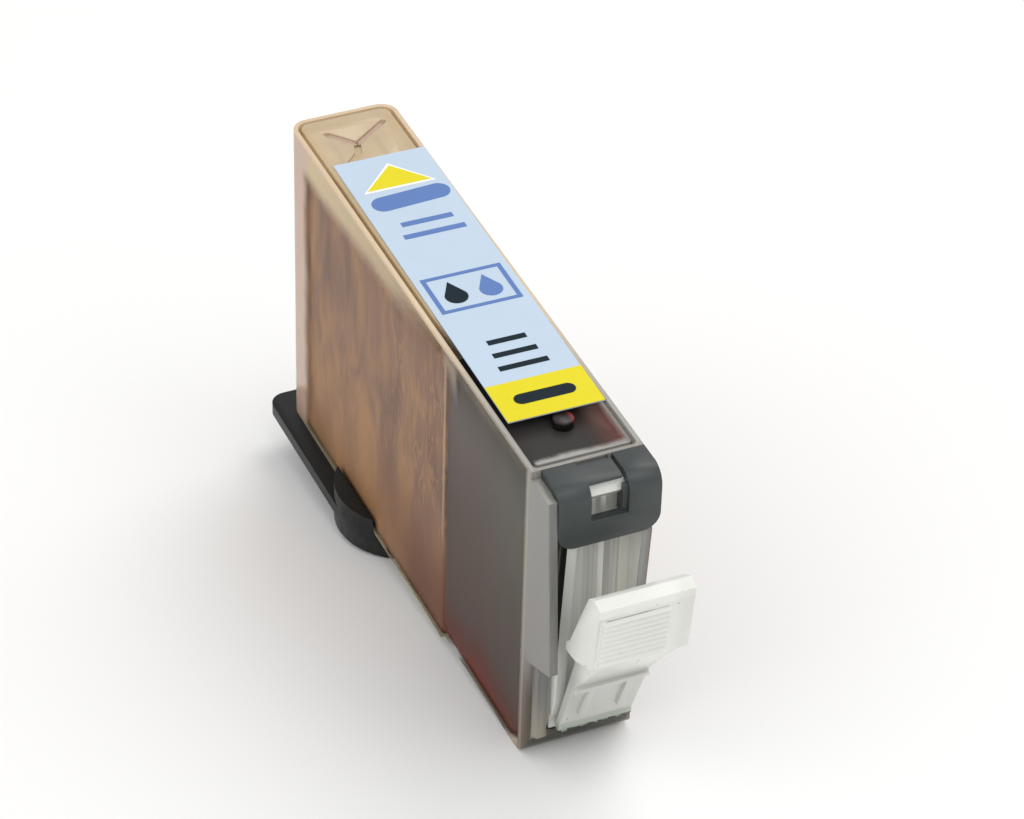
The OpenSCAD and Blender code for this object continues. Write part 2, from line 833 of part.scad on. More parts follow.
tank_case();
tank_lid();
filler_plug();
main_sponge();
free_ink();
outlet_wick();
outlet_mesh();
latch_plate();
latch_lever();
front_cap();
transport_cap();
cap_seal();
label_film();
label_yellow();
label_white();
label_blue();
label_dark();
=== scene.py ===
"""Looks of a single-colour ink cartridge: clear tank, wet sponge, label, latch lever and two black caps.

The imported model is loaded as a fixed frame. Each operator below finishes one group of pieces.
"""

import math

import bmesh
import bpy
import numpy as np
from bpy.props import FloatProperty, FloatVectorProperty, PointerProperty
from mathutils import Euler, Matrix, Vector


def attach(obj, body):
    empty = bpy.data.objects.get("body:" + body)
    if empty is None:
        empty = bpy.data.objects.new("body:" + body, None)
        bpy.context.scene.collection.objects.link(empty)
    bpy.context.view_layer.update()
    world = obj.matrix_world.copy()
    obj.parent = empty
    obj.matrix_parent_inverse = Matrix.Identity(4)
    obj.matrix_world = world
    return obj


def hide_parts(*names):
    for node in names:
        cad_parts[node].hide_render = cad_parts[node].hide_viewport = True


bl_info = {
    "name": "Ink Cartridge Finisher",
    "version": (1, 0, 0),
    "blender": (4, 5, 0),
    "location": "View3D > Sidebar > Cartridge",
    "description": "Finishes the pieces of a clear single-colour ink cartridge",
    "category": "Object",
}

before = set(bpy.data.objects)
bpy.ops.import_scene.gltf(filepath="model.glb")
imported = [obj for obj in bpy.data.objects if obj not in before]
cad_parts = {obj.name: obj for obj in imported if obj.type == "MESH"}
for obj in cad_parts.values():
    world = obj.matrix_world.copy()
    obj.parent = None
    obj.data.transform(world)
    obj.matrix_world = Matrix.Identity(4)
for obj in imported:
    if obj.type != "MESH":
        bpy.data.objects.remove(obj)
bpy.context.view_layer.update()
MM = 0.001

# The tank's own level frame: front wall at y 0, underside of the ink chamber at z 0, in mm.
# It is turned by the resting tilt and moved to where the object stands.
REST_TILT = math.radians(6.498708)
REST_SHIFT = Vector((0.0, -27.31002, -0.32027))

# Sizes that the pieces below share with the CAD source, in mm
HALF_W = 6.25
TANK_L = 68.8
TANK_H = 38.7
FRONT_WALL = 1.8
FLOOR = 1.2
# The partition between the ink and the sponge
INK_BACK = 21.8
SPONGE_FRONT = 23.0
SPONGE_LOW = 0.1
SPONGE_TOP = 36.3
# The lid lies on the seat, inside a rim and a seam
SEAT = 37.3
RIM = 0.5
SEAM = 0.4
LID_FRONT = 0.6
CORNER_R = 1.4
# The label's back edge and the vent groove's fork
LABEL_BACK = 58.8
FORK = (-0.5, LABEL_BACK + 3.4)
FORK_TIPS = ((-2.5, 2.9), (4.3, 3.1))
# Rounded foot of the front wall, the shelf under the front cap and the right side of the left rail
FOOT_R = 3.0
SHELF_LOW = 36.2
RAIL_RIGHT = -5.2
# The latch plate's web and the middle of its centre rib
WEB_T = 0.8
RIB_X = 0.8
# The serrated face's lower edge as (y, z), its forward lean in degrees and its ridges
FACE_LOW = (-11.915, 21.777)
FACE_LEAN = 7.6
RIDGE_PITCH = 0.74
RIDGE_START = 0.32
# The lever's thin root as (y, z)
ROOT = (-1.75, 5.05)

# Corners nearer than WELD, in m, are one, faces within FLAT_ANGLE one flat, and edges over EDGE_ANGLE rounded
WELD = 2e-6
FLAT_ANGLE = math.radians(0.6)
EDGE_ANGLE = math.radians(28.0)


def at_rest(points):
    """Level tank points in mm become row-frame points in metres: turned about x by the tilt, then moved."""
    p = np.asarray(points, float).reshape(-1, 3)
    c, s = math.cos(REST_TILT), math.sin(REST_TILT)
    out = np.empty_like(p)
    out[:, 0] = p[:, 0] + REST_SHIFT[0]
    out[:, 1] = p[:, 1] * c - p[:, 2] * s + REST_SHIFT[1]
    out[:, 2] = p[:, 1] * s + p[:, 2] * c + REST_SHIFT[2]
    return out * MM


class CartridgeFinish(bpy.types.PropertyGroup):
    """Colours and surface values of the cartridge's pieces."""

    wall_roughness: FloatProperty(
        name="Wall roughness", description="Roughness of the tank's clear walls",
        default=0.24, min=0.0, max=1.0)
    stain_colour: FloatVectorProperty(
        name="Stain", description="Colour of the stained plastic along the tank's top, towards the back",
        subtype="COLOR", default=(0.66, 0.495, 0.275), min=0.0, max=1.0)
    sponge_light: FloatVectorProperty(
        name="Sponge, light", description="Colour of the drier foam", subtype="COLOR",
        default=(0.41, 0.252, 0.147), min=0.0, max=1.0)
    sponge_dark: FloatVectorProperty(
        name="Sponge, dark", description="Colour of the foam where it is full of ink", subtype="COLOR",
        default=(0.22, 0.142, 0.11), min=0.0, max=1.0)
    ink_colour: FloatVectorProperty(
        name="Ink", description="Colour of the ink in the front chamber", subtype="COLOR",
        default=(0.102, 0.083, 0.072), min=0.0, max=1.0)
    lever_colour: FloatVectorProperty(
        name="Lever", description="Colour of the milky latch lever", subtype="COLOR",
        default=(0.86, 0.865, 0.815), min=0.0, max=1.0)
    cap_colour: FloatVectorProperty(
        name="Black caps", description="Colour of the black moulded caps", subtype="COLOR",
        default=(0.036, 0.043, 0.043), min=0.0, max=1.0)
    label_colour: FloatVectorProperty(
        name="Label", description="Colour of the label's film", subtype="COLOR",
        default=(0.492, 0.598, 0.715), min=0.0, max=1.0)
    yellow_colour: FloatVectorProperty(
        name="Print yellow", description="Colour of the yellow print", subtype="COLOR",
        default=(0.73, 0.63, 0.008), min=0.0, max=1.0)


class Maker:
    """Adds shader nodes to a tree, sets their inputs and links them."""

    def __init__(self, tree):
        self.tree = tree
        self.count = 0

    def put(self, socket, value):
        """Links a socket to the one given, or sets its value."""
        if isinstance(value, bpy.types.NodeSocket):
            self.tree.links.new(value, socket)
        else:
            socket.default_value = value

    def node(self, kind, **inputs):
        """A new node; set_x gives its own value x, every other name an input."""
        n = self.tree.nodes.new(kind)
        self.count += 1
        n.location = (200 * (self.count % 6) - 900, -180 * (self.count // 6))
        for key, value in inputs.items():
            if key.startswith("set_"):
                setattr(n, key[4:], value)
            else:
                self.put(n.inputs[key.replace("_", " ")], value)
        return n

    def math(self, operation, a, b=0.0, clamp=False):
        """One sum or other operation on two values."""
        n = self.node("ShaderNodeMath", set_operation=operation, set_use_clamp=clamp)
        self.put(n.inputs[0], a)
        self.put(n.inputs[1], b)
        return n.outputs[0]

    def mix(self, factor, a, b, blend="MIX"):
        """Mixes two colours; sockets 0, 6 and 7 of the node are its factor, A and B."""
        n = self.node("ShaderNodeMix", set_data_type="RGBA", set_blend_type=blend)
        self.put(n.inputs[0], factor)
        for i, colour in ((6, a), (7, b)):
            self.put(n.inputs[i], colour if isinstance(colour, bpy.types.NodeSocket) else (*colour, 1.0))
        return n.outputs[2]

    def ramp(self, factor, stops):
        """Colours at stops = (place, colour), blended between."""
        n = self.node("ShaderNodeValToRGB", Fac=factor)
        elements = n.color_ramp.elements
        while len(elements) < len(stops):
            elements.new(0.5)
        for element, (place, colour) in zip(elements, stops):
            element.position = place
            element.color = (*colour, 1.0)
        return n.outputs[0]

    def between(self, value, low, high):
        """0 below low, 1 above high, smooth between."""
        n = self.node("ShaderNodeMapRange", set_interpolation_type="SMOOTHSTEP", Value=value, From_Min=low,
                      From_Max=high)
        return n.outputs[0]

    def noise(self, vector, scale, detail=3.0, rough=0.55, warp=0.0):
        """Smooth noise from 0 to 1."""
        n = self.node("ShaderNodeTexNoise", Vector=vector, Scale=scale, Detail=detail, Roughness=rough,
                      Distortion=warp)
        return n.outputs[0]

    def level(self, scale=None):
        """Object coordinates turned back to the tank's level frame, in mm, and stretched by scale."""
        c = self.node("ShaderNodeTexCoord").outputs["Object"]
        c = self.node("ShaderNodeVectorMath", set_operation="SCALE", Scale=1000.0, Vector=c).outputs[0]
        c = self.node("ShaderNodeVectorMath", set_operation="SUBTRACT", Vector=c)
        c.inputs[1].default_value = REST_SHIFT
        c = self.node("ShaderNodeVectorRotate", set_rotation_type="X_AXIS", Vector=c.outputs[0],
                      Angle=-REST_TILT)
        if scale:
            c = self.node("ShaderNodeMapping", Vector=c.outputs[0], Scale=scale)
        return c.outputs[0]

    def axes(self, vector):
        """The vector's x, y and z."""
        s = self.node("ShaderNodeSeparateXYZ", Vector=vector)
        return s.outputs[0], s.outputs[1], s.outputs[2]

    def bump(self, height, strength, distance):
        """A normal that follows a height; distance is in metres."""
        return self.node("ShaderNodeBump", Height=height, Strength=strength, Distance=distance).outputs[0]

    def group(self, tree, **inputs):
        """A node group with its inputs."""
        return self.node("ShaderNodeGroup", set_node_tree=tree, **inputs)


def new_material(name):
    """A material with one Principled BSDF on its output."""
    m = bpy.data.materials.new(name)
    m.use_nodes = True
    mk = Maker(m.node_tree)
    bsdf = m.node_tree.nodes["Principled BSDF"]
    return m, mk, bsdf


def wire(mk, bsdf, **inputs):
    """Sets or links the Principled BSDF's sockets by name."""
    for key, value in inputs.items():
        mk.put(bsdf.inputs[key.replace("_", " ")], value)


def group_tree(name, inputs, outputs):
    """An empty shader node group with named sockets."""
    t = bpy.data.node_groups.new(name, "ShaderNodeTree")
    for label, kind, value in inputs:
        s = t.interface.new_socket(label, in_out="INPUT", socket_type=kind)
        if value is not None:
            s.default_value = value
    for label, kind in outputs:
        t.interface.new_socket(label, in_out="OUTPUT", socket_type=kind)
    return t, Maker(t), t.nodes.new("NodeGroupInput"), t.nodes.new("NodeGroupOutput")


def handled_surface():
    """Faint smears and fine mould texture: a roughness that wanders and a very small height."""
    t = bpy.data.node_groups.get("handled_surface")
    if t:
        return t
    t, mk, gi, go = group_tree(
        "handled_surface",
        [("Vector", "NodeSocketVector", None), ("Roughness", "NodeSocketFloat", 0.2),
         ("Spread", "NodeSocketFloat", 0.1), ("Grain", "NodeSocketFloat", 3.0)],
        [("Roughness", "NodeSocketFloat"), ("Height", "NodeSocketFloat"), ("Mask", "NodeSocketFloat")])
    smear = mk.noise(gi.outputs["Vector"], 0.16, 4.0, 0.6, 0.6)
    fine = mk.noise(gi.outputs["Vector"], gi.outputs["Grain"], 4.0, 0.65)
    swing = mk.math("MULTIPLY", mk.math("SUBTRACT", smear, 0.5), gi.outputs["Spread"])
    swing = mk.math("MULTIPLY", swing, 2.0)
    t.links.new(mk.math("ADD", gi.outputs["Roughness"], swing, True), go.inputs["Roughness"])
    t.links.new(fine, go.inputs["Height"])
    t.links.new(smear, go.inputs["Mask"])
    return t


def paint(node, material):
    """Puts one material on a CAD node."""
    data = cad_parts[node].data
    data.materials.clear()
    data.materials.append(material)


def settle(obj, body, slot, *nodes):
    """The piece rides on its body and stands for the nodes that it replaces; slot is not used."""
    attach(obj, body)
    if nodes:
        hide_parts(*nodes)
    return obj


def add_object(name, mesh, *materials):
    """A new object at the origin with its materials."""
    obj = bpy.data.objects.new(name, mesh)
    bpy.context.scene.collection.objects.link(obj)
    mesh.materials.clear()
    for m in materials:
        mesh.materials.append(m)
    return obj


def dressed(node, name, body, slot, width, materials, choose=None):
    """A copy of a CAD node with its triangles merged, its flats joined and its edges rounded by width in mm.

    choose(centre, normal) gives a face's material number from its centre in level mm and its normal. It comes
    after add_object, which clears the faces' numbers together with the mesh's materials.
    """
    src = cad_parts[node]
    mesh = src.data.copy()
    mesh.name = name
    mesh.transform(src.matrix_world)
    bm = bmesh.new()
    bm.from_mesh(mesh)
    bmesh.ops.remove_doubles(bm, verts=bm.verts, dist=WELD)
    bmesh.ops.dissolve_limit(bm, angle_limit=FLAT_ANGLE, verts=bm.verts, edges=bm.edges,
                             use_dissolve_boundaries=False)
    bmesh.ops.recalc_face_normals(bm, faces=bm.faces)
    for f in bm.faces:
        f.smooth = True
    bm.to_mesh(mesh)
    bm.free()
    obj = add_object(name, mesh, *materials)
    for f in mesh.polygons:
        f.material_index = choose(from_rest(f.center), f.normal) if choose else 0
    bevel = obj.modifiers.new("edges", "BEVEL")
    bevel.width = width * MM
    bevel.segments = 2
    bevel.limit_method = "ANGLE"
    bevel.angle_limit = EDGE_ANGLE
    bevel.use_clamp_overlap = True
    bevel.harden_normals = True
    return settle(obj, body, slot, node)


def from_rest(point):
    """A row-frame point in metres as x, y, z of the level tank in mm."""
    x, y, z = (point[0] / MM - REST_SHIFT[0], point[1] / MM - REST_SHIFT[1], point[2] / MM - REST_SHIFT[2])
    c, s = math.cos(REST_TILT), math.sin(REST_TILT)
    return x, y * c + z * s, -y * s + z * c


def rounded_plan(half, y0, y1, r, n=9):
    """Points round a rectangle with corner radius r, anticlockwise seen from above."""
    a = np.linspace(0.0, math.pi / 2, n)
    corners = ((half - r, y1 - r, 0.0), (-half + r, y1 - r, 0.5), (-half + r, y0 + r, 1.0),
               (half - r, y0 + r, 1.5))
    return np.concatenate([np.stack((cx + r * np.cos(a + q * math.pi), cy + r * np.sin(a + q * math.pi)), 1)
                           for cx, cy, q in corners])


def skin(name, rings, closed_ends=True, closed_ring=True, smooth=True):
    """A surface through rings of equally many level points, with its first and last ring filled."""
    rings = np.asarray(rings, float)
    m, n = rings.shape[:2]
    faces = []
    for i in range(m - 1):
        for j in range(n if closed_ring else n - 1):
            k = (j + 1) % n
            faces.append((i * n + j, i * n + k, (i + 1) * n + k, (i + 1) * n + j))
    if closed_ends:
        faces.append(tuple(reversed(range(n))))
        faces.append(tuple(range((m - 1) * n, m * n)))
    mesh = bpy.data.meshes.new(name)
    mesh.from_pydata(at_rest(rings).tolist(), [], faces)
    mesh.polygons.foreach_set("use_smooth", [smooth] * len(faces))
    mesh.update()
    return mesh


def filling(name, half, y0, y1, r, z0, z1, lump):
    """A soaked filling: rounded rectangles stacked from z0 to z1, drawn in to the middle line at both ends.

    A station is (how far the rectangle is drawn in, its height). They run from the middle of the underside
    outwards, up the sides, and over a softened edge to the middle of the top.
    The top rises and falls by lump * (sin(0.9 y + 1.3 x) + sin(1.7 y - 0.8 x + 1)) / 2.
    """
    rings = []
    inner = half - 0.05
    stations = [(t * inner, z0) for t in np.linspace(0.96, 0.04, 8)] + [(0.0, z0 + 0.05)]
    stations += [(0.0, z) for z in np.linspace(z0 + 1, z1 - 0.4, 12)]
    stations += [(0.12, z1 - 0.1)] + [(t * inner, z1) for t in np.linspace(0.06, 0.96, 16)]
    for inset, z in stations:
        h = half - inset
        corner = max(min(r, h - 0.005) - inset * 0.2, 0.02)
        plan = rounded_plan(h, y0 + inset, y1 - inset, min(corner, h * 0.98))
        # The long sides get 40 points each, for the lumps
        fine = []
        for a, b in zip(plan, np.roll(plan, -1, 0)):
            long = abs(a[1] - b[1]) > 3
            fine.extend(a + (b - a) * t for t in (np.arange(40) / 40 if long else (0.0,)))
        fine = np.array(fine)
        x, y = fine[:, 0], fine[:, 1]
        top = 1.0 if z >= z1 - 0.2 else 0.0
        lumpy = z + top * lump * (np.sin(0.9 * y + 1.3 * x) + np.sin(1.7 * y - 0.8 * x + 1)) / 2
        rings.append(np.stack((x, y, lumpy), 1))
    return skin(name, rings)


def let_light_in(material, mk, bsdf, tint):
    """Shadow rays pass the clear plastic, tinted, so what is inside gets the room's light."""
    out = material.node_tree.nodes["Material Output"]
    path = mk.node("ShaderNodeLightPath")
    clear = mk.node("ShaderNodeBsdfTransparent", Color=(*tint, 1.0))
    mixer = mk.node("ShaderNodeMixShader", Fac=path.outputs["Is Shadow Ray"])
    mk.tree.links.new(bsdf.outputs[0], mixer.inputs[1])
    mk.tree.links.new(clear.outputs[0], mixer.inputs[2])
    mk.tree.links.new(mixer.outputs[0], out.inputs["Surface"])


def near(mk, value, middle, half_width, soft):
    """1 where value is within half_width of middle, falling to 0 over soft."""
    away = mk.math("ABSOLUTE", mk.math("SUBTRACT", value, middle))
    return mk.between(away, half_width + soft, half_width)


def zone(mk, look, mask, tint, opacity):
    """Lays a tint and an opacity over the look = (colour, alpha) where the mask is 1."""
    colour, alpha = look
    lift = mk.math("MULTIPLY", mask, mk.math("SUBTRACT", opacity, alpha))
    return mk.mix(mask, colour, tint), mk.math("ADD", alpha, lift, True)


def plastic_look(name, look_at, roughness=0.16):
    """Clear moulding drawn by zones: look_at(mk, x, y, z, streak) gives colour and opacity in level mm."""
    m, mk, bsdf = new_material(name)
    v = mk.level()
    x, y, z = mk.axes(v)
    streak = mk.noise(mk.level(scale=(1.0, 1.0, 0.03)), 1.6, 2.0, 0.5)
    look = look_at(mk, x, y, z, streak)
    g = mk.group(handled_surface(), Vector=v, Roughness=roughness, Spread=0.05, Grain=2.2)
    wave = mk.noise(mk.level(scale=(1.0, 1.0, 0.2)), 0.6, 2.0, 0.5)
    wire(mk, bsdf, Base_Color=look[0], Alpha=look[1], Roughness=g.outputs["Roughness"],
         Specular_IOR_Level=0.5, Normal=mk.bump(wave, 0.1, 0.0003))
    let_light_in(m, mk, bsdf, (0.85, 0.85, 0.84))
    return m


def rail_look(mk, x, y, z, streak):
    """Grey rails: lighter streaks down their length; the tank's foot is painted dark olive as shade under the
    lever's root, pale at its left end.
    """
    tone = mk.mix(mk.between(streak, 0.35, 0.65), (0.225, 0.225, 0.208), (0.275, 0.275, 0.256))
    tone = mk.mix(near(mk, y, -0.2, 0.12, 0.3), tone, (0.40, 0.39, 0.36))
    tone = mk.mix(mk.between(x, -6.2, -6.1), tone, mk.mix(streak, (0.13, 0.128, 0.12), (0.21, 0.207, 0.20)))
    # Painted shadow under the lever's root: the foot near-black olive, pale at its left end and lighter at
    # its right
    foot = mk.mix(mk.between(x, -5.3, -3.7), (0.30, 0.265, 0.21), (0.04, 0.04, 0.03))
    foot = mk.mix(mk.between(x, 2.8, 4.6), foot, (0.10, 0.10, 0.085))
    return mk.mix(mk.between(z, 11.0, 4.0), tone, foot), 0.95


def shelf_look(mk, x, y, z, streak):
    """Pale shelf under the front cap, grey where it shows beside the cap."""
    return mk.mix(mk.between(x, -4.9, -5.15), (0.76, 0.78, 0.72), (0.26, 0.255, 0.235)), 0.95


def web_look(mk, x, y, z, streak):
    """Web of the latch's back plate: grey at the left of its centre rib, darker at the right."""
    tone = mk.mix(mk.between(x, -2.4, 0.4), (0.66, 0.66, 0.635), (0.54, 0.54, 0.52))
    tone = mk.mix(mk.between(x, 0.7, 0.9), tone, (0.47, 0.46, 0.44))
    tone = mk.mix(mk.math("MULTIPLY", mk.between(streak, 0.45, 0.62), 0.5), tone, (0.76, 0.76, 0.73))
    tone = mk.mix(mk.between(x, 3.2, 3.35), tone, (0.72, 0.715, 0.66))
    return mk.mix(mk.between(z, 31.0, 32.5), tone, (0.92, 0.92, 0.88)), 0.92


def flange_look(mk, x, y, z, streak):
    """Bright sides of the plate's flanges and its centre rib."""
    tone = mk.mix(mk.between(x, 1.5, 4.0), (0.74, 0.745, 0.69), (0.78, 0.775, 0.715))
    tone = mk.mix(mk.math("MULTIPLY", mk.between(streak, 0.45, 0.6), 0.25), tone, (0.55, 0.55, 0.51))
    outer = mk.math("MULTIPLY", mk.between(x, -3.8, -3.9), mk.between(z, 15.0, 19.0))
    return mk.mix(outer, tone, (0.02, 0.02, 0.018)), 0.95


def flange_end_look(mk, x, y, z, streak):
    """Front ends of the flanges: bright at the left, grey with a brown edge at the right."""
    right = mk.mix(mk.between(x, 4.7, 5.3), (0.34, 0.35, 0.345), (0.23, 0.225, 0.20))
    right = mk.mix(mk.between(x, 5.35, 5.6), right, (0.19, 0.12, 0.07))
    return mk.mix(mk.between(x, 0.0, 1.0), (0.60, 0.605, 0.57), right), 0.95


def wall_finish(m, mk, bsdf, v, look, roughness):
    """Finish shared by the thin clear walls: a slow waviness, smears in the gloss, and light let through."""
    g = mk.group(handled_surface(), Vector=v, Roughness=roughness, Spread=0.07, Grain=2.2)
    wave = mk.noise(v, 0.16, 2.0, 0.5)
    wire(mk, bsdf, Base_Color=look[0], Alpha=look[1], Roughness=g.outputs["Roughness"],
         Specular_IOR_Level=0.5, Normal=mk.bump(wave, 0.1, 0.0003))
    let_light_in(m, mk, bsdf, (0.92, 0.89, 0.86))


def stained_skin(s):
    """The tank's thin walls: nearly clear, tan where the plastic is thick or stained, grey round the ink."""
    m, mk, bsdf = new_material("stained_skin")
    v = mk.level()
    x, y, z = mk.axes(v)
    drift = mk.noise(mk.level(scale=(1.0, 0.25, 0.6)), 0.35, 3.0, 0.55)
    drift = mk.math("SUBTRACT", drift, 0.5)
    z_soft = mk.math("ADD", z, mk.math("MULTIPLY", drift, 2.2))
    y_soft = mk.math("ADD", y, mk.math("MULTIPLY", drift, 1.6))
    behind = mk.between(y, INK_BACK, SPONGE_FRONT)
    # Clear over the sponge and the ink
    look = (mk.mix(behind, (0.20, 0.18, 0.17), (0.50, 0.33, 0.20)), 0.0)
    # Tan band along the top, wider and more opaque towards the back
    back = mk.between(y, 14.0, 66.0)
    middle = mk.between(y, 24.0, 41.0)
    low_edge = mk.math("SUBTRACT", 38.0, mk.math("MULTIPLY", mk.math("ADD", back, middle), 1.5))
    band = mk.between(mk.math("SUBTRACT", z_soft, low_edge), -1.8, 1.4)
    strength = mk.math("ADD", 0.4, mk.math("MULTIPLY", mk.math("ADD", back, middle), 0.23))
    look = zone(mk, look, band, mk.mix(back, (0.54, 0.41, 0.25), tuple(s.stain_colour)), strength)
    # Pinkish strip along the back edge
    look = zone(mk, look, mk.between(y_soft, 62.2, 64.8), (0.62, 0.44, 0.34), 0.86)
    # The partition between the chambers: a pale line on its back face, and a flare at its top
    line = mk.math("MULTIPLY", near(mk, y, 22.95, 0.08, 0.35), mk.between(z, 10.0, 18.0))
    look = zone(mk, look, line, (0.40, 0.31, 0.23), 0.5)
    slant = mk.math("MULTIPLY", mk.math("SUBTRACT", y, 20.0), 0.8)
    flare = mk.between(mk.math("SUBTRACT", z, slant), 32.5, 36.0)
    flare = mk.math("MULTIPLY", flare, near(mk, y, 22.0, 1.2, 1.5))
    look = zone(mk, look, flare, (0.50, 0.38, 0.26), 0.45)
    # Floor seen from the side
    step = mk.math("MULTIPLY", mk.between(y, INK_BACK, SPONGE_FRONT + 0.2), 1.15)
    depth = mk.math("ADD", z_soft, step)
    floor_tint = mk.mix(mk.between(y, 16.0, 30.0), (0.23, 0.19, 0.14), (0.44, 0.39, 0.26))
    look = zone(mk, look, mk.between(depth, 0.42, 0.2), floor_tint, 0.85)
    corner = mk.math("ADD", z_soft, mk.math("MULTIPLY", y, 0.6))
    look = zone(mk, look, mk.between(corner, 3.6, 2.6), (0.44, 0.34, 0.26), 0.85)
    # Front wall seen from the side: a dark and a tan line at its inner face, grey plastic in front of them
    look = zone(mk, look, mk.between(y, 2.05, 1.75), (0.165, 0.14, 0.115), 0.85)
    tan = mk.mix(mk.between(z, 16.0, 6.0), (0.32, 0.29, 0.215), (0.28, 0.20, 0.13))
    look = zone(mk, look, mk.between(y, 1.75, 1.45), tan, 0.9)
    grey = mk.mix(mk.between(z, 16.0, 8.0), (0.265, 0.26, 0.24), (0.12, 0.09, 0.07))
    look = zone(mk, look, mk.between(y, 1.25, 0.95), grey, 0.9)
    # Rim seen from the top
    inner = mk.math("MULTIPLY", mk.between(mk.math("ABSOLUTE", x), HALF_W - 0.15, HALF_W - 0.25),
                    mk.between(z, SEAT - 0.2, SEAT))
    rim = mk.math("MAXIMUM", mk.between(z, TANK_H - 0.35, TANK_H - 0.1), inner)
    rim_tint = mk.mix(mk.between(y, 5.0, 34.0), (0.30, 0.285, 0.255), (0.68, 0.52, 0.34))
    look = zone(mk, look, rim, rim_tint, 0.92)
    wall_finish(m, mk, bsdf, v, look, s.wall_roughness)
    return m


def front_skin():
    """The front wall seen from the front: clear over the dark ink, with a painted dark olive shadow in its
    rounded foot under the lever's root.
    """
    m, mk, bsdf = new_material("front_skin")
    v = mk.level()
    x, y, z = mk.axes(v)
    look = ((0.14, 0.135, 0.12), mk.math("MULTIPLY", mk.between(z, 19.0, 15.0), 0.6))
    left = mk.mix(mk.between(x, -5.9, -5.6), (0.15, 0.135, 0.10), (0.36, 0.33, 0.275))
    left = mk.mix(mk.between(x, -5.3, -4.9), left, (0.92, 0.90, 0.85))
    low_left = mk.math("MULTIPLY", mk.between(x, -3.6, -3.9), mk.between(z, 20.0, 17.5))
    look = zone(mk, look, low_left, left, 0.92)
    # Painted shadow under the lever's root, over the rounded foot
    look = zone(mk, look, mk.between(z, 3.4, 2.6), (0.05, 0.05, 0.037), 0.93)
    look = zone(mk, look, mk.between(x, 5.6, 5.8), (0.22, 0.15, 0.10), 0.8)
    wall_finish(m, mk, bsdf, v, look, 0.2)
    return m


def stained_lid():
    """The lid: pale tan at the back over the sponge, almost clear over the dark ink at the front."""
    m, mk, bsdf = new_material("stained_lid")
    v = mk.level()
    x, y, z = mk.axes(v)
    cloud = mk.noise(v, 0.5, 4.0, 0.55, 0.4)
    back = mk.between(y, 20.0, 30.0)
    pale = mk.mix(cloud, (0.57, 0.44, 0.27), (0.67, 0.545, 0.375))
    side = mk.between(mk.math("ABSOLUTE", x), 4.2, 5.3)
    pale = mk.mix(mk.math("MULTIPLY", side, 0.35), pale, (0.62, 0.43, 0.20))
    look = (mk.mix(back, (0.13, 0.10, 0.09), pale), mk.math("MULTIPLY", back, 0.72))
    # Reddish light through the ink at the right, greyish pink plastic round the front end
    glow = mk.math("MULTIPLY", mk.between(x, 1.5, 5.2), mk.between(y, 13.0, 5.0))
    look = zone(mk, look, mk.math("MULTIPLY", glow, 0.75), (0.30, 0.06, 0.045), 0.5)
    front_end = mk.between(mk.math("ADD", y, mk.math("MULTIPLY", cloud, 0.8)), 3.0, 2.2)
    look = zone(mk, look, front_end, (0.30, 0.29, 0.27), 0.85)
    right_side = mk.math("MULTIPLY", mk.between(x, 4.6, 5.2), mk.between(y, 16.0, 10.0))
    look = zone(mk, look, right_side, (0.24, 0.22, 0.20), 0.8)
    wall_finish(m, mk, bsdf, v, look, 0.2)
    return m


def foam_material(s):
    """Foam wet with ink: streaks down the tank, golden and purple-brown patches, red-brown pools low down."""
    m, mk, bsdf = new_material("wet_foam")
    v = mk.level()
    x, y, z = mk.axes(v)
    streak = mk.noise(mk.level(scale=(1.0, 0.7, 0.24)), 0.3, 2.2, 0.5, 1.3)
    patch = mk.noise(mk.level(scale=(1.0, 0.8, 0.5)), 0.085, 2.5, 0.5, 0.9)
    wet = mk.math("ADD", mk.math("MULTIPLY", streak, 0.5), mk.math("MULTIPLY", patch, 0.5))
    colour = mk.ramp(wet, [(0.38, tuple(s.sponge_light)), (0.46, (0.34, 0.213, 0.14)),
                           (0.53, (0.275, 0.177, 0.131)), (0.62, tuple(s.sponge_dark))])
    # Golden, drier foam low at the back and in the middle
    golden = mk.math("MULTIPLY", mk.between(mk.math("ADD", z, mk.math("MULTIPLY", patch, 16.0)), 26.0, 12.0),
                     mk.between(y, 28.0, 42.0))
    colour = mk.mix(mk.math("MULTIPLY", golden, 0.45), colour, (0.42, 0.245, 0.125))
    # Curved golden flecks where the foam presses on the wall
    fleck = mk.noise(mk.level(scale=(1.0, 1.3, 0.5)), 0.55, 1.5, 0.5, 1.4)
    fleck = mk.math("MULTIPLY", mk.between(fleck, 0.52, 0.62), mk.between(y, 44.0, 34.0))
    fleck = mk.math("MULTIPLY", fleck, near(mk, z, 22.0, 8.0, 5.0))
    colour = mk.mix(mk.math("MULTIPLY", fleck, 0.5), colour, (0.42, 0.27, 0.155))
    # Ink pools, red-brown towards the partition's foot
    pool = mk.math("MULTIPLY", mk.between(mk.math("ADD", z, mk.math("MULTIPLY", streak, 10.0)), 21.0, 7.0),
                   mk.between(y, 46.0, 28.0))
    colour = mk.mix(mk.math("MULTIPLY", pool, 0.85), colour, (0.165, 0.07, 0.047))
    colour = mk.mix(1.0, colour, (0.88, 0.79, 0.68), "MULTIPLY")
    cells = mk.node("ShaderNodeTexVoronoi", Vector=v, Scale=2.6).outputs["Distance"]
    colour = mk.mix(mk.math("MULTIPLY", mk.between(cells, 0.25, 0.05), 0.06), colour, (0.12, 0.06, 0.04))
    wire(mk, bsdf, Base_Color=colour, Roughness=0.5, Specular_IOR_Level=0.12, Coat_Weight=0.06,
         Coat_Roughness=0.2, Normal=mk.bump(cells, 0.15, 0.0002))
    return m


